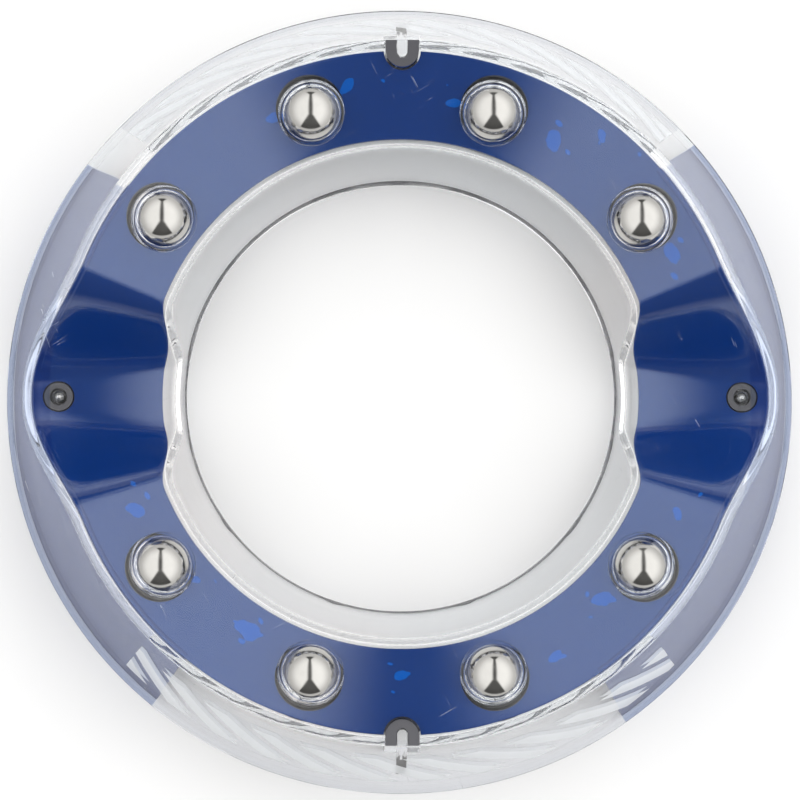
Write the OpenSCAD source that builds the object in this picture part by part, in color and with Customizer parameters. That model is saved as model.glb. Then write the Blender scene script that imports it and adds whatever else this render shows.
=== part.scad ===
// Bowling-ball rest ring: a clear moulded cover over a coloured liner, with eight captive
// steel balls that let a ball resting in the ring spin freely.
// Millimetres. The ring stands on z = 0 with its centre on the Z axis.

/* [Cover] */
// Outer diameter at the foot
outer_d = 190; // [188:1:194]
// Height of the straight foot rim
rim_h = 1.2; // [0.8:0.1:2]
// Width of the step above the foot rim
rim_step = 0.9; // [0.5:0.1:1.5]
// Lean of the outer wall from vertical, degrees
outer_lean = 20.15; // [19:0.05:21]
// Radius of the clear bore at the lower end of the inner wall
bore_rim_r = 51.3; // [50.5:0.1:52]
// Height of the lower end of the inner wall
bore_rim_z = 8; // [7:0.5:8.5]
// Lean of the inner wall from vertical, degrees
inner_lean = 23.15; // [22:0.05:24]
// Wall thickness of the cover
cover_t = 2.2; // [1.8:0.1:2.4]
// Inward slope of the top face, degrees
face_tilt = 17; // [15:0.5:19]

/* [Steel balls] */
// Diameter of a steel ball
ball_d = 14.2875; // [14:0.0125:14.3]
// Diameter of the circle through the ball centres
ball_circle_d = 140; // [139:0.5:141]
// Height of the ball centres
ball_z = 26.5; // [26:0.1:27]
// Angle between neighbouring balls, degrees
ball_pitch = 36; // [36:1:36]
// Height of the top face above a ball centre, along the collar's axis
face_above_ball = 1.85; // [1.6:0.05:2]
// Height of the collar's rim above a ball centre
collar_h = 3.2; // [3:0.1:3.4]
// Gap between a ball and what holds it
ball_gap = 0.1; // [0.08:0.01:0.1]

/* [Finger scoops] */
// Height of the scoop floor at its lowest
scoop_z = 11.4; // [11.2:0.1:12]
// Half width of the flat bottom at the inner and the outer edge
scoop_flat = [6, 2]; // [0:0.5:8]
// Half width of the whole scoop at the inner and the outer edge
scoop_edge = [22, 33]; // [20:0.5:33]

/* [Liner] */
// Thickness of the liner
liner_t = 1.2; // [1:0.05:1.2]
// Gap between the cover's underside and the liner
liner_gap = 0.15; // [0.1:0.01:0.2]
// Radius of the liner's hole under a collar
liner_hole_r = 8.3; // [8.2:0.05:8.4]
// How far that hole lies outwards of the ball
liner_hole_shift = 0.6; // [0.5:0.05:0.7]

/* [Base ring] */
// Inner and outer radius of the base ring
base_r = [62.3, 80.3]; // [62:0.1:81]
// Height of the top of its floor
base_floor_z = 7; // [6.5:0.1:7]
// Thickness of its floor
base_floor_t = 2.2; // [1.8:0.1:2.4]
// Thickness of its two foot walls
base_wall_t = 2; // [1.6:0.1:2.4]
// Radius of a ball pedestal
pedestal_r = 9.9; // [9.6:0.1:9.9]

/* [Posts and screws] */
// Radius of the circle through the four posts
post_circle_r = 82; // [81.8:0.1:82.2]
// Radius of a screw post
post_r = 3.45; // [3.3:0.05:3.5]
// Radius of the clear boss inside a screw post
boss_r = 2; // [1.9:0.05:2]
// Radius of a screw's shank
screw_r = 1.3; // [1.2:0.05:1.35]
// Radius of a screw's head
screw_head_r = 2.8; // [2.6:0.1:2.9]
// Half width of a slotted locating post
key_post_r = 3.93; // [3.8:0.01:4]
// Half width of the cover's rib that stands in the slot
key_rib_r = 1.2; // [1:0.05:1.25]

/* [Hidden] */
$fn = 96;
bend_steps = 4;
ball_r = ball_d / 2;
ball_circle_r = ball_circle_d / 2;
socket_r = ball_r + ball_gap;
ball_angles = [for (k = [1, 2, 3, 4, 6, 7, 8, 9]) k * ball_pitch];
face_at_balls = ball_z + face_above_ball / cos(face_tilt);
face_drop_t = cover_t / cos(face_tilt);
outer_wall_w = cover_t / cos(outer_lean);
inner_wall_w = cover_t / cos(inner_lean);
shoulder_run = [2.2, 1.7];
cavity_run = [0.8, 0.6];
liner_top = face_drop_t + liner_gap;
liner_low = liner_top + liner_t;
scoop_ref_r = [58, 85];
scoop_rises = [0, 0.2, 0.4, 0.6, 0.8];
scoop_floor_rise = 0.02;
trough_x = [46, 96.5];
liner_inset = [0.6, 0.5];
liner_scoop_r = [57, 88.6];
skirt_low_r = 91.6;
skirt_low_z = 0.8;
skirt_inset = 0.05;
skirt_angles = [[-55, 41], [143, 231]];
seat_r = 8.15;
seat_top = -1.9;
seat_low = -8.6;
pedestal_top = -2.4;
post_top_z = 9.3;
post_foot_r = 5;
screw_seat_z = 3.2;
screw_tip_z = 10.2;
boss_low_z = 6.5;
key_post_x = 80.85;
key_post_end = 83;
key_slot_r = 1.35;
key_slot_x = 80.3;
key_post_drop = 0.9;
key_window_slack = 0.12;
key_window_end = 83.12;
key_rib_cover = 0.6;
post_slack = 0.35;
notch_slack = 0.45;
drain_r = 1.2;
rib_t = 1.6;
rib_count = 20;
recess_w = 0.7;
recess_l = 3.2;

// ---- The cover's surfaces, as heights over a radius r

function wall_r(z) = outer_d / 2 - rim_step - (z - rim_h) * tan(outer_lean);
function bore_r(z) = bore_rim_r + (z - bore_rim_z) * tan(inner_lean);
function plain_face(r) = face_at_balls + (r - ball_circle_r) * tan(face_tilt);
function scoop_floor(x) = scoop_z + scoop_floor_rise * (x - scoop_ref_r[0]);

// a value given at the inner and the outer edge, at distance x from the ring's centre
function across(pair, x) =
    pair[0] + (pair[1] - pair[0]) * (x - scoop_ref_r[0]) / (scoop_ref_r[1] - scoop_ref_r[0]);

// radius where the top face, lowered by dv, meets a wall moved into the material by dh
function outer_corner(dv, dh) =
    (wall_r(plain_face(0) - dv) - dh) / (1 + tan(face_tilt) * tan(outer_lean));
function inner_corner(dv, dh) =
    (bore_r(plain_face(0) - dv) + dh) / (1 - tan(face_tilt) * tan(inner_lean));

// a rounded corner at b, from a to c
function bend(a, b, c) =
    [for (i = [0:bend_steps])
        let (t = i / bend_steps)
        (1 - t) * (1 - t) * a + 2 * t * (1 - t) * b + t * t * c];

// the skin from the inner wall over the face to the outer wall, with rounded shoulders
function skin(dv, w_in, w_out, run) =
    let (
        ri = inner_corner(dv, w_in),
        ro = outer_corner(dv, w_out),
        zi = plain_face(ri) - dv,
        zo = plain_face(ro) - dv,
        fi = ri + run[0],
        fo = ro - run[1]
    )
    concat(
        bend([bore_r(zi - run[0]) + w_in, zi - run[0]], [ri, zi], [fi, plain_face(fi) - dv]),
        bend([fo, plain_face(fo) - dv], [ro, zo], [wall_r(zo - run[1]) - w_out, zo - run[1]])
    );

function turned_over(list) = [for (i = [len(list) - 1:-1:0]) list[i]];

// half of a scoop's cross-section at distance x: from its floor up a smooth side and past the face
function scoop_half(x) =
    let (
        flat = across(scoop_flat, x),
        edge = across(scoop_edge, x),
        depth = plain_face(x) - scoop_floor(x)
    )
    concat(
        [for (t = scoop_rises)
            [flat + t * (edge - flat), scoop_floor(x) + depth * t * t * (3 - 2 * t)]],
        [[edge * 1.06, plain_face(x) + 3], [edge * 1.06, 60]]);

function scoop_ring(x, dv) =
    concat(
        [for (p = scoop_half(x)) [x, p[0], p[1] - dv]],
        [for (p = turned_over(scoop_half(x))) [x, -p[0], p[1] - dv]]);

// ---- Helpers

// what a finger scoop takes out of a face lowered by dv: a trough that widens outwards
module scoop_trough(dv) {
    near = scoop_ring(trough_x[0], dv);
    far = scoop_ring(trough_x[1], dv);
    n = len(near);
    polyhedron(
        points = concat(near, far),
        faces = concat(
            [[for (i = [0:n - 1]) i]],
            [[for (i = [n - 1:-1:0]) n + i]],
            [for (i = [0:n - 1])
                let (j = (i + 1) % n)
                each [[i, n + j, j], [i, n + i, n + j]]]));
}

// a copy on the right and one on the left
module both_sides() {
    for (a = [0, 180])
        rotate(a)
            children();
}

// puts a shape at a ball, with +Z along the collar's axis
module at_ball(angle) {
    rotate(angle)
        translate([ball_circle_r, 0, ball_z])
            rotate([0, -face_tilt, 0])
                children();
}

module at_every_ball() {
    for (a = ball_angles)
        at_ball(a)
            children();
}

// ---- Clear cover

module collar_blank() {
    rotate_extrude()
        polygon([[5, 0.3], [8.1, 0.3], [7.65, collar_h - 0.5],
            [7.5, collar_h - 0.12], [7.25, collar_h], [5, collar_h]]);
}

// everything inside the cover's outer surface
module cover_envelope() {
    difference() {
        rotate_extrude($fn = 180)
            polygon(concat(
                [[bore_rim_r, bore_rim_z]],
                skin(0, 0, 0, shoulder_run),
                [[wall_r(rim_h), rim_h], [outer_d / 2, rim_h], [outer_d / 2, 0],
                    [wall_r(0) - outer_wall_w, 0],
                    [bore_rim_r + inner_wall_w, bore_rim_z]]));
        both_sides()
            scoop_trough(0);
    }
}

// the hollow under the cover
module cover_cavity() {
    difference() {
        rotate_extrude($fn = 180)
            polygon(concat(
                [[bore_r(-2) + inner_wall_w, -2]],
                skin(face_drop_t, inner_wall_w, outer_wall_w, cavity_run),
                [[wall_r(-2) - outer_wall_w, -2]]));
        both_sides()
            scoop_trough(face_drop_t);
    }
}

// a shape that is round towards the ring's centre and straight outwards, up to end_x
module key_outline(r, end_x) {
    intersection() {
        union() {
            translate([key_post_x, 0])
                circle(r = r);
            translate([key_post_x, -r])
                square([end_x - key_post_x, 2 * r]);
        }
        translate([key_post_x - 10, -10])
            square([end_x - key_post_x + 10, 20]);
    }
}

// the opening at the top of the outer wall that a locating post's tip fills
module key_window() {
    rotate(90)
        translate([0, 0, 22])
            linear_extrude(20)
                key_outline(key_post_r + key_window_slack, key_window_end);
}

// a rib that hangs inside the outer wall and stands in the slot of a locating post
module key_rib() {
    start_r = key_slot_x - 4;
    drop = face_drop_t / 2;
    corner_r = outer_corner(drop, key_rib_cover);
    intersection() {
        rotate(90)
            translate([key_slot_x + 0.15, 0, 10])
                linear_extrude(25)
                    union() {
                        circle(r = key_rib_r);
                        translate([0, -key_rib_r])
                            square([12, 2 * key_rib_r]);
                    }
        rotate(80)
            rotate_extrude(angle = 20, $fn = 180)
                polygon([[start_r, 5], [start_r, plain_face(start_r) - drop],
                    [corner_r, plain_face(corner_r) - drop],
                    [wall_r(5) - key_rib_cover, 5]]);
    }
}

module clear_cover() {
    color([0.85, 0.9, 0.95, 0.35])
        difference() {
            union() {
                difference() {
                    cover_envelope();
                    cover_cavity();
                    both_sides()
                        key_window();
                }
                at_every_ball()
                    collar_blank();
                both_sides()
                    key_rib();
                both_sides()
                    translate([post_circle_r, 0, boss_low_z])
                        cylinder(r = boss_r, h = 4);
            }
            at_every_ball()
                sphere(r = socket_r);
            both_sides()
                translate([post_circle_r, 0, boss_low_z - 1])
                    cylinder(r = screw_r + 0.05, h = screw_tip_z + 0.2 - boss_low_z + 1);
        }
}

// ---- Blue liner

// everything under a face lowered by dv, between two cones that stay off the cover's walls
module liner_mass(dv, grow_in, grow_out, low_z) {
    top_in = inner_corner(liner_top, inner_wall_w) + liner_inset[0] - grow_in;
    top_out = outer_corner(liner_top, outer_wall_w) - liner_inset[1] + grow_out;
    low_in = liner_scoop_r[0] - grow_in;
    low_out = liner_scoop_r[1] + grow_out;
    skirt_out = skirt_low_r + grow_out;
    bend_z = scoop_z - liner_top;
    difference() {
        rotate_extrude($fn = 180)
            polygon([[low_in, low_z], [low_in, bend_z], [top_in, plain_face(top_in) - dv],
                [top_out, plain_face(top_out) - dv], [low_out, bend_z], [skirt_out, low_z]]);
        both_sides()
            scoop_trough(dv);
    }
}

// the liner's skirts inside the outer wall, one around each scoop
module liner_skirts() {
    intersection() {
        difference() {
            liner_mass(liner_top + liner_t / 3, 0, -skirt_inset, skirt_low_z);
            liner_mass(0, 5, -skirt_inset - liner_t, skirt_low_z - 1);
        }
        for (arc = skirt_angles)
            rotate(arc[0])
                rotate_extrude(angle = arc[1] - arc[0], $fn = 180)
                    translate([75, -2])
                        square([25, 40]);
    }
}

module key_notch() {
    rotate(90)
        translate([0, 0, 20])
            linear_extrude(15)
                key_outline(key_post_r + notch_slack, key_post_x + 8);
}

module blue_liner() {
    color("mediumblue")
        difference() {
            union() {
                difference() {
                    liner_mass(liner_top, 0, 0, 2);
                    liner_mass(liner_low, 1, 1, 1);
                }
                liner_skirts();
            }
            at_every_ball()
                translate([liner_hole_shift, 0, -5])
                    cylinder(r = liner_hole_r, h = 8);
            both_sides()
                translate([post_circle_r, 0, 5])
                    cylinder(r = post_r + post_slack, h = 8);
            both_sides()
                key_notch();
        }
}

// ---- Base ring

module ring(r_in, r_out, z, h) {
    translate([0, 0, z])
        rotate_extrude($fn = 180)
            translate([r_in, 0])
                square([r_out - r_in, h]);
}

// the outline of the slot that the cover's rib stands in
module key_slot() {
    translate([key_slot_x, 0])
        circle(r = key_slot_r);
    translate([key_slot_x, -key_slot_r])
        square([8, 2 * key_slot_r]);
}

// a post with a round inner end, a straight outer end and an open slot, cut off parallel
// to the top face
module key_post() {
    rotate(90)
        intersection() {
            linear_extrude(40)
                difference() {
                    key_outline(key_post_r, key_post_end);
                    key_slot();
                }
            translate([key_post_x, 0, plain_face(key_post_x) - key_post_drop])
                rotate([0, -face_tilt, 0])
                    translate([-20, -20, -60])
                        cube([40, 40, 60]);
        }
}

// the upright tube under a ball, cut off parallel to the top face
module pedestal(angle) {
    intersection() {
        rotate(angle)
            translate([ball_circle_r + 1.5, 0, 0])
                cylinder(r = pedestal_r, h = 35);
        at_ball(angle)
            translate([-40, -40, pedestal_top - 60])
                cube([80, 80, 60]);
    }
}

module base_ring() {
    color("dimgray")
        difference() {
            union() {
                ring(base_r[0], base_r[1], base_floor_z - base_floor_t, base_floor_t);
                ring(base_r[0], base_r[0] + base_wall_t, 0, base_floor_z);
                ring(base_r[1] - base_wall_t, base_r[1], 0, base_floor_z);
                for (a = [0:360 / rib_count:359])
                    if (len(search(a, ball_angles)) == 0)
                        rotate(a)
                            translate([base_r[0] + 1, -rib_t / 2, 1.5])
                                cube([base_r[1] - base_r[0] - 2, rib_t, base_floor_z - 2.5]);
                for (a = ball_angles)
                    pedestal(a);
                both_sides()
                    translate([post_circle_r, 0, 0.6]) {
                        cylinder(r = post_foot_r, h = base_floor_z - 0.6);
                        cylinder(r = post_r, h = post_top_z - 0.6);
                    }
                both_sides()
                    key_post();
            }
            for (a = ball_angles) {
                at_ball(a)
                    translate([0, 0, seat_low - 0.05])
                        cylinder(r = seat_r + 0.05, h = 20);
                rotate(a)
                    translate([ball_circle_r + 1.5, 0, -1])
                        cylinder(r = pedestal_r - 2.5, h = 14);
            }
            both_sides()
                rotate(90)
                    translate([0, 0, -1])
                        linear_extrude(25)
                            key_slot();
            both_sides()
                translate([post_circle_r, 0, 0]) {
                    cylinder(r = screw_head_r + 0.3, h = screw_seat_z);
                    cylinder(r = screw_r + 0.2, h = 12);
                    translate([0, 0, boss_low_z - 0.2])
                        cylinder(r = boss_r + 0.1, h = 6);
                }
        }
}

// ---- Steel balls, their seats, and the screws

module steel_ball(k) {
    color("silver")
        at_ball(ball_angles[k - 1])
            sphere(r = ball_r);
}

// a low-friction cup under a ball, with a drain hole
module ball_seat(k) {
    color("black")
        at_ball(ball_angles[k - 1])
            difference() {
                rotate_extrude()
                    polygon([[0, seat_low], [seat_r - 0.5, seat_low], [seat_r, seat_low + 0.5],
                        [seat_r, seat_top - 0.4], [seat_r - 0.4, seat_top], [0, seat_top]]);
                sphere(r = socket_r);
                translate([0, 0, seat_low - 1])
                    cylinder(r = drain_r, h = 4);
            }
}

// a pan-head screw with a cross recess, driven from below
module screw() {
    color("lightgray")
        translate([post_circle_r, 0, 0])
            difference() {
                union() {
                    translate([0, 0, screw_seat_z - 1.9])
                        cylinder(r1 = screw_head_r - 0.6, r2 = screw_head_r, h = 0.8);
                    translate([0, 0, screw_seat_z - 1.1])
                        cylinder(r = screw_head_r, h = 1.1);
                    translate([0, 0, screw_seat_z - 0.2])
                        cylinder(r = screw_r, h = screw_tip_z - 1 - screw_seat_z + 0.2);
                    translate([0, 0, screw_tip_z - 1])
                        cylinder(r1 = screw_r, r2 = 0.5, h = 1);
                }
                for (a = [0, 90])
                    rotate(a)
                        translate([-recess_l / 2, -recess_w / 2, 0])
                            cube([recess_l, recess_w, screw_seat_z - 0.7]);
            }
}

module screw_right() {
    screw();
}

module screw_left() {
    rotate(180)
        screw();
}

clear_cover();
blue_liner();
base_ring();
for (k = [1:8])
    steel_ball(k);
for (k = [1:8])
    ball_seat(k);
screw_right();
screw_left();
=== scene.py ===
"""Looks for the bowling-ball rest ring: clear cover, blue liner, steel balls, base ring and screws.

Metres, +Z up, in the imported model's own frame. The cover and the liner are rebuilt as smooth
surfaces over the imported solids; the scoops are on +X and -X.
"""

import math

import bmesh
import bpy
import numpy as np
from mathutils import Matrix, Vector


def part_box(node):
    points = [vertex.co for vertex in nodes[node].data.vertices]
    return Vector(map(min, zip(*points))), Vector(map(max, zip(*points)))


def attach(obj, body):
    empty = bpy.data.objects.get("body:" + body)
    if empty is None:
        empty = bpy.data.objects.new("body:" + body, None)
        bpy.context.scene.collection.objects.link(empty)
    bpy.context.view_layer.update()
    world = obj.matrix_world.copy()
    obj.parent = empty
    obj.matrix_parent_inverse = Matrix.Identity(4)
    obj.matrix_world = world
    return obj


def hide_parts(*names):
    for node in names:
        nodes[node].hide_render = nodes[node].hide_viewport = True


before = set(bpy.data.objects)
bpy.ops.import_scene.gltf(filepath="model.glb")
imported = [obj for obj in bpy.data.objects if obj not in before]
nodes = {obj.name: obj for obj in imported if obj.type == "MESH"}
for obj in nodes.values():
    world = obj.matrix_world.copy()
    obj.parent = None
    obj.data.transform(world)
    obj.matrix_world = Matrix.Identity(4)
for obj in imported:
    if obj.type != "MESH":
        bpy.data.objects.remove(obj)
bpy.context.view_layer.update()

MM = 0.001

# ---------------------------------------------------------------- the ring's own dimensions, mm

OUTER_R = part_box("clear_cover")[1][0] / MM
RIM_H = 1.2
RIM_STEP = 0.9
OUTER_TAN = math.tan(math.radians(20.15))
BORE_RIM_R = 51.3
BORE_RIM_Z = 8.0
INNER_TAN = math.tan(math.radians(23.15))
COVER_T = 2.2
FACE_TILT = math.radians(17)
FACE_TAN = math.tan(FACE_TILT)
FACE_DROP = COVER_T / math.cos(FACE_TILT)
OUTER_WALL_W = COVER_T * math.hypot(1, OUTER_TAN)
INNER_WALL_W = COVER_T * math.hypot(1, INNER_TAN)

BALL_R = 14.2875 / 2
BALL_GAP = 0.1
BALL_CIRCLE_R = 70.0
BALL_Z = 26.5
BALL_ANGLES = [36 * k for k in (1, 2, 3, 4, 6, 7, 8, 9)]
FACE_ABOVE_BALL = 1.85
COLLAR_R = 8.1
COLLAR_H = 3.2

# half widths of a scoop's flat bottom and of its edge, at two radii
SCOOP_REF = (58.0, 85.0)
SCOOP_FLAT = (6.0, 2.0)
SCOOP_EDGE = (22.0, 33.0)
SCOOP_LOW_R = 73.0
SCOOP_LOW_Z = 11.4
SCOOP_DISH = 0.003

# the two posts with screws, at the scoops, and the two slotted posts that locate the cover
POST_CIRCLE_R = 82.0
BOSS_R = 2.0
BOSS_LOW_Z = 6.5
BOSS_TOP_Z = 10.5
PILOT_R = 1.35
KEY_POST_X = 80.85
KEY_POST_R = 3.93
KEY_WINDOW_SLACK = 0.12
KEY_WINDOW_END = 83.12
KEY_RIB_X = 80.45
KEY_RIB_R = 1.2
KEY_RIB_END = 83.0
KEY_RIB_LOW_Z = 10.0

LINER_TOP = FACE_DROP + 0.15
LINER_T = 1.2
LINER_INNER_GAP = 0.6
LINER_OUTER_GAP = 0.5
LINER_SCOOP_R = 57.0
LINER_HOLE_R = 8.1
LINER_HOLE_SHIFT = 0.8
LINER_POST_R = 3.8
LINER_KEY_SLACK = 0.45
# a dark blue sheet inside each side arc of the outer wall: painted shade for the shaded hollow
# behind the wall
SHADE_SHEET_DROP = 0.2
SHADE_SHEET_LOW_R = 91.6
SHADE_SHEET_LOW_Z = 0.8
SHADE_SHEET_ARCS = ((-55, 41), (143, 231))
# where the liner clings to the cover and looks wet: angle, radius and half length
WET_SPOTS = [
    (27, 72, 3.4), (52, 77, 2.2), (59, 70, 3.6), (80, 70, 2.0), (100, 74, 2.6),
    (115, 72, 2.4), (204, 69, 3.2), (222, 66, 2.0), (237, 67, 4.2), (270, 67, 2.2),
    (300, 72, 2.6), (314, 68, 3.4), (336, 71, 2.2),
]

SCREW_SEAT_Z = 3.2
SCREW_TIP_Z = 10.15
SCREW_SHANK_R = 1.0
SCREW_HEAD_R = 2.8
THREAD_TURNS = 5
THREAD_PITCH = 1.15
THREAD_HEIGHT = 0.28

# the radius, in metres, beyond which the cover's surface is its outer wall
WALL_FROM = 0.0838
WALL_SURE = 0.0842


def wall_r(z):
    return OUTER_R - RIM_STEP - (z - RIM_H) * OUTER_TAN


def bore_r(z):
    return BORE_RIM_R + (z - BORE_RIM_Z) * INNER_TAN


def plain_face(r):
    return BALL_Z + FACE_ABOVE_BALL / math.cos(FACE_TILT) + (r - BALL_CIRCLE_R) * FACE_TAN


def scoop_depth(phi, r):
    """1 along a scoop's bottom, 0 outside it, with a smooth side between."""
    w = (r - SCOOP_REF[0]) / (SCOOP_REF[1] - SCOOP_REF[0])
    flat = SCOOP_FLAT[0] + (SCOOP_FLAT[1] - SCOOP_FLAT[0]) * w
    edge = SCOOP_EDGE[0] + (SCOOP_EDGE[1] - SCOOP_EDGE[0]) * w
    t = min(1.0, max(0.0, (abs(r * math.sin(phi)) - flat) / (edge - flat)))
    return 1 - t * t * (3 - 2 * t)


def top_z(phi, r):
    floor = SCOOP_LOW_Z + SCOOP_DISH * (r - SCOOP_LOW_R) ** 2
    return plain_face(r) - (plain_face(r) - floor) * scoop_depth(phi, r)


def corner(phi, dv, dh, outer):
    """Radius where the face, lowered by dv, meets a wall moved into the material by dh."""
    r = BALL_CIRCLE_R
    for _ in range(20):
        z = top_z(phi, r) - dv
        r = wall_r(z) - dh if outer else bore_r(z) + dh
    return r


def bend(a, b, c, steps):
    """A rounded corner at b, from a to c."""
    return [
        tuple((1 - t) ** 2 * p + 2 * t * (1 - t) * q + t * t * s for p, q, s in zip(a, b, c))
        for t in (k / steps for k in range(steps + 1))
    ]


def skin(phi, dv, w_in, w_out, run, bend_steps, face_steps=24):
    """(r, z) points from the inner wall, over the face, to the outer wall.

    run is how far the rounding of the inner and of the outer shoulder reaches.
    """
    ri = corner(phi, dv, w_in, False)
    ro = corner(phi, dv, w_out, True)
    zi = top_z(phi, ri) - dv
    zo = top_z(phi, ro) - dv
    fi = ri + run[0]
    fo = ro - run[1]
    face = [fi + (fo - fi) * k / face_steps for k in range(1, face_steps)]
    low_in = (bore_r(zi - run[0]) + w_in, zi - run[0])
    low_out = (wall_r(zo - run[1]) - w_out, zo - run[1])
    return (
        bend(low_in, (ri, zi), (fi, top_z(phi, fi) - dv), bend_steps)
        + [(r, top_z(phi, r) - dv) for r in face]
        + bend((fo, top_z(phi, fo) - dv), (ro, zo), low_out, bend_steps)
    )


def between(a, b, steps):
    """Points strictly between a and b."""
    return [
        tuple(p + (q - p) * k / steps for p, q in zip(a, b))
        for k in range(1, steps)
    ]


def cover_section(phi):
    """The clear cover's closed section: outside, rim and foot, inside, and the lip of the bore."""
    outside = skin(phi, 0, 0, 0, (2.2, 1.7), 7)
    inside = skin(phi, FACE_DROP, INNER_WALL_W, OUTER_WALL_W, (0.8, 0.6), 4)
    foot_in = (BORE_RIM_R, BORE_RIM_Z + 0.35)
    rim_top = (OUTER_R - RIM_STEP, RIM_H)
    inner_foot = (BORE_RIM_R + INNER_WALL_W, BORE_RIM_Z)
    outer_foot = (wall_r(0) - OUTER_WALL_W, 0.0)
    return (
        [foot_in]
        + between(foot_in, outside[0], 5)
        + outside
        + between(outside[-1], rim_top, 8)
        + [
            (rim_top[0] - 0.05, RIM_H + 0.15),
            (rim_top[0] + 0.1, RIM_H + 0.02),
            (OUTER_R - 0.25, RIM_H),
            (OUTER_R - 0.06, RIM_H - 0.06),
            (OUTER_R, RIM_H - 0.25),
            (OUTER_R, 0.2),
            (OUTER_R - 0.2, 0.0),
            (outer_foot[0] + 0.2, 0.0),
            (outer_foot[0], 0.2),
        ]
        + between(outer_foot, inside[-1], 6)
        + inside[::-1]
        + between(inside[0], inner_foot, 4)
        + [(inner_foot[0], BORE_RIM_Z + 0.2), (inner_foot[0] - 0.2, BORE_RIM_Z)]
        + [(BORE_RIM_R + 0.3, BORE_RIM_Z), (BORE_RIM_R + 0.08, BORE_RIM_Z + 0.1)]
    )


def liner_outer_r(phi):
    return corner(phi, LINER_TOP, OUTER_WALL_W, True) - LINER_OUTER_GAP


def liner_section(phi, steps=40):
    """The liner's closed section, with the edges of its top eased."""
    plain_in = corner(phi, LINER_TOP, INNER_WALL_W, False) + LINER_INNER_GAP
    r_in = plain_in + (LINER_SCOOP_R - plain_in) * scoop_depth(phi, SCOOP_REF[0])
    r_out = liner_outer_r(phi)
    line = [r_in + (r_out - r_in) * k / steps for k in range(steps + 1)]
    edge = 0.15
    top = [(r, top_z(phi, r) - LINER_TOP) for r in line]
    low = [(r, top_z(phi, r) - LINER_TOP - LINER_T) for r in line[::-1]]
    top[0] = (top[0][0], top[0][1] - edge)
    top[-1] = (top[-1][0], top[-1][1] - edge)
    top.insert(1, (r_in + edge, top_z(phi, r_in + edge) - LINER_TOP))
    top.insert(-1, (r_out - edge, top_z(phi, r_out - edge) - LINER_TOP))
    return top + low


# ---------------------------------------------------------------- mesh helpers


def new_object(name, verts, faces):
    """A shaded object from points in millimetres."""
    mesh = bpy.data.meshes.new(name)
    mesh.from_pydata([tuple(c * MM for c in v) for v in verts], [], faces)
    bm = bmesh.new()
    bm.from_mesh(mesh)
    bmesh.ops.recalc_face_normals(bm, faces=bm.faces)
    bm.to_mesh(mesh)
    bm.free()
    obj = bpy.data.objects.new(name, mesh)
    bpy.context.scene.collection.objects.link(obj)
    smooth(obj)
    return obj


def smooth(obj):
    obj.data.shade_smooth()
    obj.data.set_sharp_from_angle(angle=math.radians(30))


def row_faces(rows, n, closed=False):
    """Quads between successive rows of n points; a run that isn't closed gets its two ends."""
    last = rows - 1
    faces = []
    for k in range(rows if closed else last):
        a = k * n
        b = (k + 1) % rows * n
        faces += [(a + i, a + (i + 1) % n, b + (i + 1) % n, b + i) for i in range(n)]
    if not closed:
        faces += [list(range(n))[::-1], list(range(last * n, last * n + n))]
    return faces


def swept_ring(name, section, steps=480):
    """A closed ring whose section is a function of the angle from +X."""
    verts = []
    for k in range(steps):
        phi = 2 * math.pi * k / steps
        verts += [(r * math.cos(phi), r * math.sin(phi), z) for r, z in section(phi)]
    return new_object(name, verts, row_faces(steps, len(verts) // steps, closed=True))


def lathe(outline, steps, matrix):
    """Verts and faces of an outline turned about Z, then moved by matrix; radius 0 closes it."""
    verts = []
    faces = []
    rows = []
    for r, z in outline:
        if r == 0:
            rows.append([len(verts)] * steps)
            verts.append(matrix @ Vector((0, 0, z)))
            continue
        rows.append(list(range(len(verts), len(verts) + steps)))
        for k in range(steps):
            a = 2 * math.pi * k / steps
            verts.append(matrix @ Vector((r * math.cos(a), r * math.sin(a), z)))
    for low, high in zip(rows, rows[1:]):
        for k in range(steps):
            j = (k + 1) % steps
            quad = list(dict.fromkeys((low[k], low[j], high[j], high[k])))
            if len(quad) > 2:
                faces.append(quad)
    return verts, faces


def joined(name, parts):
    """One object from several pairs of verts and faces."""
    verts = []
    faces = []
    for v, f in parts:
        base = len(verts)
        verts.extend(v)
        faces.extend([i + base for i in face] for face in f)
    return new_object(name, verts, faces)


def turned(angle):
    return Matrix.Rotation(math.radians(angle), 4, "Z")


def on_post_circle(angle):
    return turned(angle) @ Matrix.Translation((POST_CIRCLE_R, 0, 0))


def at_ball(angle):
    """Places a shape at a ball, with +Z along its collar's axis."""
    return (
        turned(angle)
        @ Matrix.Translation((BALL_CIRCLE_R, 0, BALL_Z))
        @ Matrix.Rotation(-FACE_TILT, 4, "Y")
    )


def carve(obj, tool, operation):
    """Applies one boolean and deletes the tool."""
    mod = obj.modifiers.new("carve", "BOOLEAN")
    mod.operation = operation
    mod.solver = "EXACT"
    mod.object = tool
    with bpy.context.temp_override(object=obj, active_object=obj, selected_objects=[obj]):
        bpy.ops.object.modifier_apply(modifier=mod.name)
    bpy.data.objects.remove(tool)
    smooth(obj)


def loft(low, high, matrix):
    """A closed solid between two outlines that have as many points as each other."""
    return [matrix @ Vector(v) for v in low + high], row_faces(2, len(low))


def prism(outline, z_low, z_high, matrix):
    """A closed prism over an outline in X and Y."""
    return loft([(x, y, z_low) for x, y in outline], [(x, y, z_high) for x, y in outline], matrix)


def keyhole(x, r, x_end, steps=24):
    """Outline of a tongue along X: round towards the ring's centre, straight outwards."""
    arc = [math.pi / 2 + math.pi * k / steps for k in range(steps + 1)]
    return [(x + r * math.cos(a), r * math.sin(a)) for a in arc] + [(x_end, -r), (x_end, r)]


# ---------------------------------------------------------------- clear cover


def arc_points(cx, cy, r, start, end, steps):
    """Points on an arc, from one angle in degrees to another."""
    return [
        (cx + r * math.cos(math.radians(a)), cy + r * math.sin(math.radians(a)))
        for a in (start + (end - start) * k / steps for k in range(steps + 1))
    ]


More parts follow.
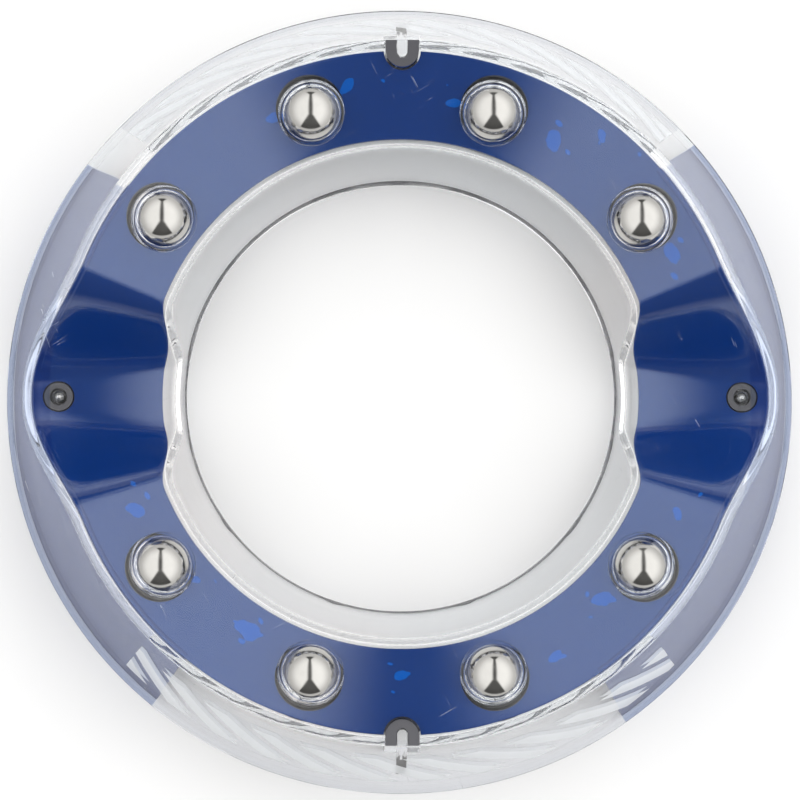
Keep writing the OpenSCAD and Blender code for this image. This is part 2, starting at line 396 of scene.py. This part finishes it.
def key_rib(matrix):
    """The clear rib that stands in a locating post's slot, under a sloping top."""
    foot = keyhole(KEY_RIB_X, KEY_RIB_R, wall_r(KEY_RIB_LOW_Z) - 0.6)
    head = keyhole(KEY_RIB_X, KEY_RIB_R, KEY_RIB_END)
    low = [(x, y, KEY_RIB_LOW_Z) for x, y in foot]
    high = [(x, y, plain_face(x) - FACE_DROP / 2) for x, y in head]
    return loft(low, high, matrix)


def collar(angle):
    """The raised ring round a ball, turned from a closed outline of radii and heights above
    the ball's centre; the ball's hole is cut through it later.
    """
    outline = [(5, 0.3), (COLLAR_R, 0.3), (7.98, 1.6), (7.92, 1.95), (7.85, 2.25), (7.78, 2.55)]
    outline += arc_points(7.4, COLLAR_H - 0.3, 0.32, 20, 90, 5)
    outline += [(7.0, COLLAR_H + 0.02), (5, COLLAR_H + 0.02), (5, 0.3)]
    return lathe(outline, 72, at_ball(angle))


def ball_hole(angle, steps=40):
    """A sphere a little larger than a ball."""
    r = BALL_R + BALL_GAP
    turns = [math.pi * k / steps for k in range(steps + 1)]
    outline = [(r * math.sin(a), -r * math.cos(a)) for a in turns]
    outline[0] = (0, -r)
    outline[-1] = (0, r)
    return lathe(outline, 72, at_ball(angle))


def boss(place):
    """The clear boss that a screw drives up into."""
    low = [(0, BOSS_LOW_Z), (BOSS_R - 0.1, BOSS_LOW_Z), (BOSS_R, BOSS_LOW_Z + 0.1)]
    return lathe(low + [(BOSS_R, BOSS_TOP_Z), (0, BOSS_TOP_Z)], 48, place)


def pilot_hole(place):
    low_z = BOSS_LOW_Z - 1.5
    outline = [(0, low_z), (PILOT_R, low_z), (PILOT_R, BOSS_TOP_Z - 0.5), (0, BOSS_TOP_Z + 0.1)]
    return lathe(outline, 32, place)


def key_window(matrix):
    """The opening that a locating post fills, up through the face."""
    outline = keyhole(KEY_POST_X, KEY_POST_R + KEY_WINDOW_SLACK, KEY_WINDOW_END)
    return prism(outline, 22, 40, matrix)


def build_cover():
    cover = swept_ring("cover_shell", cover_section)
    windows = [key_window(turned(angle)) for angle in (90, 270)]
    ribs = [key_rib(turned(angle)) for angle in (90, 270)]
    bosses = [boss(on_post_circle(angle)) for angle in (0, 180)]
    pilots = [pilot_hole(on_post_circle(angle)) for angle in (0, 180)]
    collars = [collar(angle) for angle in BALL_ANGLES]
    holes = [ball_hole(angle) for angle in BALL_ANGLES]
    carve(cover, joined("windows", windows), "DIFFERENCE")
    carve(cover, joined("collars", collars), "UNION")
    carve(cover, joined("bosses", bosses + ribs), "UNION")
    carve(cover, joined("holes", holes + pilots), "DIFFERENCE")
    return cover


# ---------------------------------------------------------------- blue liner


def skirt(start, end, steps=160):
    """A dark blue sheet of painted shade inside the outer wall, over one arc in degrees."""
    verts = []
    for k in range(steps + 1):
        phi = math.radians(start + (end - start) * k / steps)
        top_r = liner_outer_r(phi)
        top = (top_r, top_z(phi, top_r) - LINER_TOP - SHADE_SHEET_DROP)
        low = (SHADE_SHEET_LOW_R, SHADE_SHEET_LOW_Z)
        outline = [top] + between(top, low, 6) + [low]
        outline += [(r - LINER_T, z) for r, z in outline[::-1]]
        verts += [(r * math.cos(phi), r * math.sin(phi), z) for r, z in outline]
    return verts, row_faces(steps + 1, len(outline))


def build_liner():
    liner = swept_ring("liner_sheet", liner_section, 640)
    ball_cut = [(0, -5), (LINER_HOLE_R, -5), (LINER_HOLE_R, 1.2), (0, 1.2)]
    post_cut = [(0, 5), (LINER_POST_R, 5), (LINER_POST_R, 13), (0, 13)]
    key_cut = keyhole(KEY_POST_X, KEY_POST_R + LINER_KEY_SLACK, 90)
    cuts = []
    for angle in BALL_ANGLES:
        place = at_ball(angle) @ Matrix.Translation((LINER_HOLE_SHIFT, 0, 0))
        cuts.append(lathe(ball_cut, 72, place))
    for side in (0, 180):
        cuts.append(lathe(post_cut, 64, on_post_circle(side)))
        cuts.append(prism(key_cut, 20, 35, turned(side + 90)))
    carve(liner, joined("liner_cuts", cuts), "DIFFERENCE")
    mark_wet_spots(liner.data)
    return liner


def mark_wet_spots(mesh):
    """Stores how deep each vertex lies in a spot where the liner clings to the cover."""
    rng = np.random.default_rng(7)
    spots = []
    for angle, radius, size in WET_SPOTS:
        spots.append((math.radians(angle), radius, size))
        for _ in range(2):
            near = math.radians(angle + rng.uniform(-7, 7))
            spots.append((near, radius + rng.uniform(-4, 4), size * rng.uniform(0.2, 0.4)))
    co = np.empty(len(mesh.vertices) * 3)
    mesh.vertices.foreach_get("co", co)
    x, y = co.reshape(-1, 3).T[:2] / MM
    depth = np.full(len(mesh.vertices), -1.0)
    for angle, radius, size in spots:
        along = -x * math.sin(angle) + y * math.cos(angle)
        out = x * math.cos(angle) + y * math.sin(angle) - radius
        lean = rng.uniform(-0.8, 0.8)
        u = along * math.cos(lean) + out * math.sin(lean)
        v = out * math.cos(lean) - along * math.sin(lean)
        depth = np.maximum(depth, 1 - np.hypot(u / size, v / (0.55 * size)))
    layer = mesh.attributes.new("wet", "FLOAT", "POINT")
    layer.data.foreach_set("value", depth.astype(np.float32))


# ---------------------------------------------------------------- balls and screws


def build_ball(number):
    """A steel ball as a fine geodesic mesh."""
    name = "polished_ball_%d" % number
    bm = bmesh.new()
    bmesh.ops.create_icosphere(bm, subdivisions=6, radius=0.9999 * BALL_R * MM)
    centre = at_ball(BALL_ANGLES[number - 1]).translation
    bmesh.ops.translate(bm, verts=bm.verts, vec=centre * MM)
    mesh = bpy.data.meshes.new(name)
    bm.to_mesh(mesh)
    bm.free()
    mesh.shade_smooth()
    ball = bpy.data.objects.new(name, mesh)
    bpy.context.scene.collection.objects.link(ball)
    return ball


def screw_thread(place, per_turn=28):
    """A raised helix round the shank, which fades in and out at its ends."""
    steps = THREAD_TURNS * per_turn
    root = SCREW_SHANK_R - 0.1
    verts = []
    for k in range(steps + 1):
        a = 2 * math.pi * k / per_turn
        z = SCREW_SEAT_Z + 0.5 + THREAD_PITCH * k / per_turn
        crest = SCREW_SHANK_R + THREAD_HEIGHT * min(1.0, k / 8, (steps - k) / 12)
        for r, dz in ((root, -0.28), (crest, -0.03), (crest, 0.03), (root, 0.28)):
            verts.append(place @ Vector((r * math.cos(a), r * math.sin(a), z + dz)))
    return verts, row_faces(steps + 1, 4)


def build_screw(name, side):
    """A pan-head tapping screw with a cross recess and a raised helical thread."""
    place = on_post_circle(side)
    seat = SCREW_SEAT_Z
    body = [(0, seat - 1.9), (1.9, seat - 1.9), (2.4, seat - 1.65), (2.75, seat - 1.1)]
    body += [(SCREW_HEAD_R, seat - 0.7), (SCREW_HEAD_R, seat), (SCREW_SHANK_R, seat)]
    body += [(SCREW_SHANK_R, SCREW_TIP_Z - 1.1), (0, SCREW_TIP_Z)]
    screw = joined(name, [lathe(body, 48, place)])
    bar = [(-1.6, -0.35), (1.6, -0.35), (1.6, 0.35), (-1.6, 0.35)]
    for turn in (0, 90):
        carve(screw, joined("recess", [prism(bar, 0, 2.4, place @ turned(turn))]), "DIFFERENCE")
    thread = joined("thread", [screw_thread(place)])
    both = [screw, thread]
    with bpy.context.temp_override(
        object=screw, active_object=screw, selected_objects=both, selected_editable_objects=both,
    ):
        bpy.ops.object.join()
    return screw


# ---------------------------------------------------------------- materials


class Nodes:
    """Short calls for building the node tree of a material or a world."""

    def __init__(self, owner, output="ShaderNodeOutputMaterial"):
        self.owner = owner
        owner.use_nodes = True
        self.tree = owner.node_tree
        self.tree.nodes.clear()
        self.out = self.tree.nodes.new(output)

    def add(self, kind, inputs=(), **fields):
        node = self.tree.nodes.new(kind)
        for key, value in fields.items():
            setattr(node, key, value)
        for key, value in dict(inputs).items():
            if isinstance(value, bpy.types.NodeSocket):
                self.tree.links.new(value, node.inputs[key])
            else:
                node.inputs[key].default_value = value
        return node

    def math(self, operation, a, b=0.0):
        return self.add("ShaderNodeMath", {0: a, 1: b}, operation=operation).outputs[0]

    def product(self, first, *others):
        for other in others:
            first = self.math("MULTIPLY", first, other)
        return first

    def noise(self, vector, scale, detail=3.0, roughness=0.5, distortion=0.0):
        inputs = {"Vector": vector, "Scale": scale, "Detail": detail}
        inputs.update({"Roughness": roughness, "Distortion": distortion})
        return self.add("ShaderNodeTexNoise", inputs).outputs["Fac"]

    def remap(self, value, low, high, to_low=0.0, to_high=1.0):
        """A smooth step between two values."""
        inputs = {0: value, 1: low, 2: high, 3: to_low, 4: to_high}
        node = self.add("ShaderNodeMapRange", inputs, interpolation_type="SMOOTHSTEP")
        return node.outputs[0]

    def mix_colour(self, factor, a, b):
        node = self.add("ShaderNodeMix", {0: factor}, data_type="RGBA")
        for index, value in ((6, a), (7, b)):
            if isinstance(value, bpy.types.NodeSocket):
                self.tree.links.new(value, node.inputs[index])
            else:
                node.inputs[index].default_value = (*value, 1)
        return node.outputs[2]

    def bump(self, height, strength, distance):
        inputs = {"Height": height, "Strength": strength, "Distance": distance}
        return self.add("ShaderNodeBump", inputs).outputs[0]

    def place(self):
        """The point on the object, in metres."""
        return self.add("ShaderNodeTexCoord").outputs["Object"]

    def polar(self, place):
        """Radius and height in metres, and the angle from +X in radians, from -pi to pi."""
        x, y, z = self.add("ShaderNodeSeparateXYZ", {0: place}).outputs
        square = self.math("ADD", self.math("MULTIPLY", x, x), self.math("MULTIPLY", y, y))
        return self.math("SQRT", square), z, self.math("ARCTAN2", y, x)

    def finish(self, shader):
        self.tree.links.new(shader, self.out.inputs["Surface"])
        return self.owner


def material_nodes(name):
    return Nodes(bpy.data.materials.new(name))


def scratches(n, place, turn, amount, length=1 / 90, width=1 / 2600):
    """Short straight hairlines in one direction: 1 on a line, 0 elsewhere."""
    inputs = {0: place, 2: (0, 0, turn), 3: (length, width, length)}
    lines = n.add("ShaderNodeMapping", inputs, vector_type="TEXTURE")
    streaks = n.noise(lines.outputs[0], 1.0, 1.0, 0.4)
    patch = n.remap(n.noise(place, 45, 2.0), 0.5, 0.66)
    return n.product(n.remap(streaks, 0.82 - amount, 0.86 - amount), patch)


def in_shade_sheet_arcs(n, angle):
    """1 in the two arcs of the outer wall that have the dark sheets of painted shade behind them.
    """
    (right_start, right_end), (left_start, left_end) = SHADE_SHEET_ARCS
    edges = [math.radians(a) for a in (right_start, right_end, left_start, left_end - 360)]
    past = [n.remap(angle, a - 0.002, a + 0.002) for a in edges]
    right = n.math("SUBTRACT", past[0], past[1])
    left = n.math("ADD", past[2], n.math("SUBTRACT", 1.0, past[3]))
    return n.math("ADD", right, left)


def in_bar_runs(n, angle):
    """1 in the front and back parts of the outer wall that carry bars."""
    off_middle = n.math("SUBTRACT", n.math("ABSOLUTE", angle), math.pi / 2)
    return n.remap(n.math("ABSOLUTE", off_middle), 0.80, 0.795)


def slanted_bars(n, z, angle, bars_in_half_turn=22.0, lean=14.0):
    """1 on a bar, 0 between bars and above and below their band."""
    turn = n.math("ADD", angle, n.math("MULTIPLY", z, lean))
    phase = n.math("FRACT", n.math("MULTIPLY", turn, bars_in_half_turn / math.pi))
    bar = n.product(n.remap(phase, 0.18, 0.2), n.remap(phase, 0.72, 0.70))
    band = n.product(n.remap(z, 0.0075, 0.0079), n.remap(z, 0.0225, 0.0221))
    return n.product(bar, band)


def clear_material():
    """Clear plastic with hairlines, frosted bars, and painted shade for what the side walls show of
    the shaded hollow behind them.
    """
    n = material_nodes("clear_cover_plastic")
    place = n.place()
    radius, z, angle = n.polar(place)
    on_wall = n.remap(radius, WALL_FROM, WALL_SURE)
    in_run = in_bar_runs(n, angle)
    panel = n.product(in_run, on_wall)
    frost = n.product(slanted_bars(n, z, angle), panel)

    marks = n.math("MAXIMUM", scratches(n, place, 0.5, 0.06), scratches(n, place, -1.1, 0.05))
    handled = n.product(scratches(n, place, 1.9, 0.11), n.remap(radius, 0.083, 0.085))
    marks = n.math("MAXIMUM", marks, handled)
    cloud = n.noise(place, 35, 3.0)
    rough = n.math("ADD", n.product(marks, 0.3), n.remap(cloud, 0.3, 0.8, 0.01, 0.05))
    rough = n.math("MAXIMUM", rough, n.product(frost, 0.45))
    bump = n.bump(n.math("SUBTRACT", n.product(cloud, 0.3), marks), 0.15, 0.00002)

    # faintly pink to faintly blue; greyer behind the bars; painted shade: smoky blue over the dark
    # sheets in the side arcs
    pastel = n.remap(n.noise(place, 14, 2.0), 0.35, 0.65)
    tint = n.mix_colour(pastel, (1.0, 0.985, 0.982), (0.968, 0.988, 1.0))
    tint = n.mix_colour(panel, tint, (0.86, 0.87, 0.90))
    side = n.product(in_shade_sheet_arcs(n, angle), on_wall)
    tint = n.mix_colour(side, tint, (0.66, 0.73, 0.88))
    # painted shade: darker still towards the foot of the side walls
    foot = n.product(side, n.remap(radius, 0.0900, 0.0925))
    tint = n.mix_colour(foot, tint, (0.42, 0.48, 0.64))
    clear = n.add(
        "ShaderNodeBsdfPrincipled",
        {"Base Color": tint, "Roughness": rough, "Normal": bump,
         "Transmission Weight": 1.0, "IOR": 1.49},
    )
    white = n.add(
        "ShaderNodeBsdfPrincipled",
        {"Base Color": (0.86, 0.89, 0.92, 1), "Roughness": 0.5, "Normal": bump},
    )
    whitened = n.math("MAXIMUM", n.product(frost, 0.6), n.product(marks, 0.22))
    both = n.add("ShaderNodeMixShader", {0: whitened, 1: clear.outputs[0], 2: white.outputs[0]})

    # light that falls on what is behind the cover takes a straight path
    path = n.add("ShaderNodeLightPath")
    lit = n.math("MAXIMUM", path.outputs["Is Shadow Ray"], path.outputs["Is Diffuse Ray"])
    through = n.add("ShaderNodeBsdfTransparent", {0: (0.985, 0.99, 0.995, 1)})
    final = n.add("ShaderNodeMixShader", {0: lit, 1: both.outputs[0], 2: through.outputs[0]})
    return n.finish(final.outputs[0])


def liner_material():
    """Blue plastic, brighter and without a sheen where it clings to the cover."""
    n = material_nodes("blue_liner_plastic")
    place = n.place()
    wobble = n.product(n.math("SUBTRACT", n.noise(place, 330, 2.0), 0.5), 1.3)
    wet_depth = n.add("ShaderNodeAttribute", attribute_name="wet").outputs["Fac"]
    blobs = n.remap(n.math("ADD", wet_depth, wobble), 0.16, 0.19)
    grain = n.noise(place, 900, 2.0)
    drift = n.noise(place, 18, 2.0)
    deep = n.mix_colour(drift, (0.0025, 0.026, 0.150), (0.0033, 0.032, 0.180))
    wet = n.mix_colour(drift, (0.0, 0.085, 0.40), (0.0, 0.095, 0.44))
    colour = n.mix_colour(blobs, deep, wet)
    rough = n.remap(drift, 0.3, 0.7, 0.12, 0.2)
    shader = n.add(
        "ShaderNodeBsdfPrincipled",
        {"Base Color": colour, "Roughness": rough, "Normal": n.bump(grain, 0.06, 0.00001),
         "Specular IOR Level": n.remap(blobs, 0.0, 1.0, 0.8, 0.0),
         "Specular Tint": (0.3, 0.55, 1.0, 1)},
    )
    return n.finish(shader.outputs[0])


def steel_material():
    n = material_nodes("polished_steel")
    place = n.place()
    haze = n.noise(place, 420, 4.0, 0.6)
    fine = scratches(n, place, 0.9, 0.1)
    rough = n.math("ADD", n.remap(haze, 0.35, 0.75, 0.09, 0.15), n.product(fine, 0.12))
    tone = n.mix_colour(haze, (0.50, 0.49, 0.47), (0.57, 0.56, 0.54))
    shader = n.add(
        "ShaderNodeBsdfPrincipled",
        {"Base Color": tone, "Metallic": 1.0, "Roughness": rough,
         "Normal": n.bump(fine, 0.05, 0.00001)},
    )
    return n.finish(shader.outputs[0])


def moulded_material(name, dark, light, roughness):
    """Moulded plastic with a fine spark-eroded grain and faint flow marks."""
    n = material_nodes(name)
    place = n.place()
    grain = n.noise(place, 2600, 3.0, 0.6)
    flow = n.noise(place, 40, 3.0, 0.5, 1.2)
    colour = n.mix_colour(flow, dark, light)
    rough = n.remap(grain, 0.3, 0.7, roughness - 0.08, roughness + 0.08)
    shader = n.add(
        "ShaderNodeBsdfPrincipled",
        {"Base Color": colour, "Roughness": rough, "Normal": n.bump(grain, 0.25, 0.00004)},
    )
    return n.finish(shader.outputs[0])


def screw_material():
    n = material_nodes("zinc_plated_steel")
    place = n.place()
    patch = n.noise(place, 1200, 4.0, 0.6)
    colour = n.mix_colour(patch, (0.50, 0.51, 0.52), (0.66, 0.66, 0.64))
    shader = n.add(
        "ShaderNodeBsdfPrincipled",
        {"Base Color": colour, "Metallic": 1.0, "Roughness": n.remap(patch, 0.3, 0.7, 0.22, 0.4)},
    )
    return n.finish(shader.outputs[0])


def floor_material():
    n = material_nodes("pale_table")
    place = n.place()
    soft = n.noise(place, 3, 2.0)
    colour = n.mix_colour(soft, (0.94, 0.94, 0.94), (0.96, 0.96, 0.96))
    shader = n.add("ShaderNodeBsdfPrincipled", {"Base Color": colour, "Roughness": 0.6})
    # seen from below the table is clear, so that the ring's underside can be looked at
    back = n.add("ShaderNodeNewGeometry").outputs["Backfacing"]
    clear = n.add("ShaderNodeBsdfTransparent")
    sides = n.add("ShaderNodeMixShader", {0: back, 1: shader.outputs[0], 2: clear.outputs[0]})
    return n.finish(sides.outputs[0])


def dress(obj, material):
    obj.data.materials.clear()
    obj.data.materials.append(material)


# ---------------------------------------------------------------- assembly

clear_plastic = clear_material()
blue_plastic = liner_material()
steel = steel_material()
grey_plastic = moulded_material(
    "grey_base_plastic", (0.075, 0.075, 0.085), (0.10, 0.10, 0.112), 0.42
)
seat_plastic = moulded_material(
    "black_seat_plastic", (0.012, 0.012, 0.014), (0.02, 0.02, 0.022), 0.3
)
# the dark sheets of painted shade behind the side walls
shade_sheet_plastic = moulded_material(
    "painted_shade_blue_plastic", (0.003, 0.03, 0.16), (0.005, 0.04, 0.2), 0.7
)
zinc = screw_material()

cover_shell = build_cover()
dress(cover_shell, clear_plastic)
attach(cover_shell, "ring")
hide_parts("clear_cover")

liner_sheet = build_liner()
dress(liner_sheet, blue_plastic)
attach(liner_sheet, "ring")
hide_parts("blue_liner")

# dark blue sheets in the side arcs: painted shade for the hollow behind the outer wall
liner_skirts = joined("liner_skirts", [skirt(*arc) for arc in SHADE_SHEET_ARCS])
dress(liner_skirts, shade_sheet_plastic)
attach(liner_skirts, "ring")

for number in range(1, len(BALL_ANGLES) + 1):
    polished_ball = build_ball(number)
    dress(polished_ball, steel)
    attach(polished_ball, "ball_%d" % number)
    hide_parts("steel_ball_%d" % number)

for side_name, side_angle in (("right", 0), ("left", 180)):
    tapping_screw = build_screw("tapping_screw_" + side_name, side_angle)
    dress(tapping_screw, zinc)
    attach(tapping_screw, "ring")
    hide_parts("screw_" + side_name)

dress(nodes["base_ring"], grey_plastic)
for number in range(1, len(BALL_ANGLES) + 1):
    dress(nodes["ball_seat_%d" % number], seat_plastic)


# ---------------------------------------------------------------- floor, light and camera


def build_floor():
    half = 4.0
    corners = [(-half, -half, 0), (half, -half, 0), (half, half, 0), (-half, half, 0)]
    mesh = bpy.data.meshes.new("table")
    mesh.from_pydata(corners, [], [(0, 1, 2, 3)])
    table = bpy.data.objects.new("table", mesh)
    bpy.context.scene.collection.objects.link(table)
    table.location.z = -0.0002
    dress(table, floor_material())


def dark_gap(n, x, y, z):
    """1 in the gap between two softboxes overhead, which widens to the front and the back."""
    height = n.math("MAXIMUM", z, 0.02)
    across = n.math("ABSOLUTE", n.math("DIVIDE", x, height))
    along = n.math("DIVIDE", y, height)
    front = n.math("MAXIMUM", n.math("SUBTRACT", -0.3, along), 0.0)
    rear = n.math("MAXIMUM", n.math("SUBTRACT", along, 1.8), 0.0)
    widening = n.math("ADD", n.product(front, 0.68), n.product(rear, 0.4))
    half_width = n.math("ADD", widening, 0.05)
    gap = n.remap(n.math("SUBTRACT", across, half_width), -0.02, 0.2, 1.0, 0.0)
    return n.product(gap, n.remap(along, -5.5, -3.5), n.remap(along, 4.2, 3.2))


def build_world():
    """A bright overhead fading to a dimmer room, with the dark gap between the softboxes."""
    world = bpy.data.worlds.new("studio")
    bpy.context.scene.world = world
    n = Nodes(world, "ShaderNodeOutputWorld")
    direction = n.add("ShaderNodeTexCoord").outputs["Generated"]
    x, y, z = n.add("ShaderNodeSeparateXYZ", {0: direction}).outputs
    bright = n.product(n.remap(z, 0.05, 0.75, 0.85, 1.6), n.remap(x, -0.9, 0.9, 0.94, 1.06))
    dimming = n.math("SUBTRACT", 1.0, n.product(dark_gap(n, x, y, z), 0.9))
    inputs = {0: (1.0, 0.995, 0.985, 1), 1: n.product(bright, dimming)}
    n.finish(n.add("ShaderNodeBackground", inputs).outputs[0])


def build_softbox():
    """A soft key light from the right, which no reflection shows."""
    lamp = bpy.data.lights.new("softbox", "AREA")
    lamp.shape = "RECTANGLE"
    lamp.size = 0.8
    lamp.size_y = 0.8
    lamp.energy = 3.0
    softbox = bpy.data.objects.new("softbox", lamp)
    softbox.location = (1.3, 0.6, 1.4)
    softbox.rotation_euler = (-softbox.location).to_track_quat("-Z", "Y").to_euler()
    softbox.visible_glossy = False
    softbox.visible_transmission = False
    bpy.context.scene.collection.objects.link(softbox)


def build_camera():
    """One metre above the ring, 4 degrees off the vertical, towards the front."""
    distance = 1.0
    tilt = math.radians(4)
    lean_left = -0.018
    frame_width = 0.1938
    camera = bpy.data.cameras.new("camera")
    camera.sensor_width = 36.0
    camera.lens = camera.sensor_width * distance / frame_width
    eye = bpy.data.objects.new("camera", camera)
    back = Vector((lean_left, -math.sin(tilt), math.cos(tilt))).normalized()
    eye.location = back * distance
    right = Vector((0, 1, 0)).cross(back).normalized()
    turn = Matrix((right, back.cross(right), back)).transposed()
    eye.rotation_euler = turn.to_euler()
    bpy.context.scene.collection.objects.link(eye)
    bpy.context.scene.camera = eye


build_floor()
build_world()
build_softbox()
build_camera()
bpy.context.scene.view_settings.view_transform = "Standard"
# the leaning clear walls guide light down to the foot, which takes many bounces
bpy.context.scene.cycles.max_bounces = 28
bpy.context.scene.cycles.glossy_bounces = 20
bpy.context.scene.cycles.transmission_bounces = 20
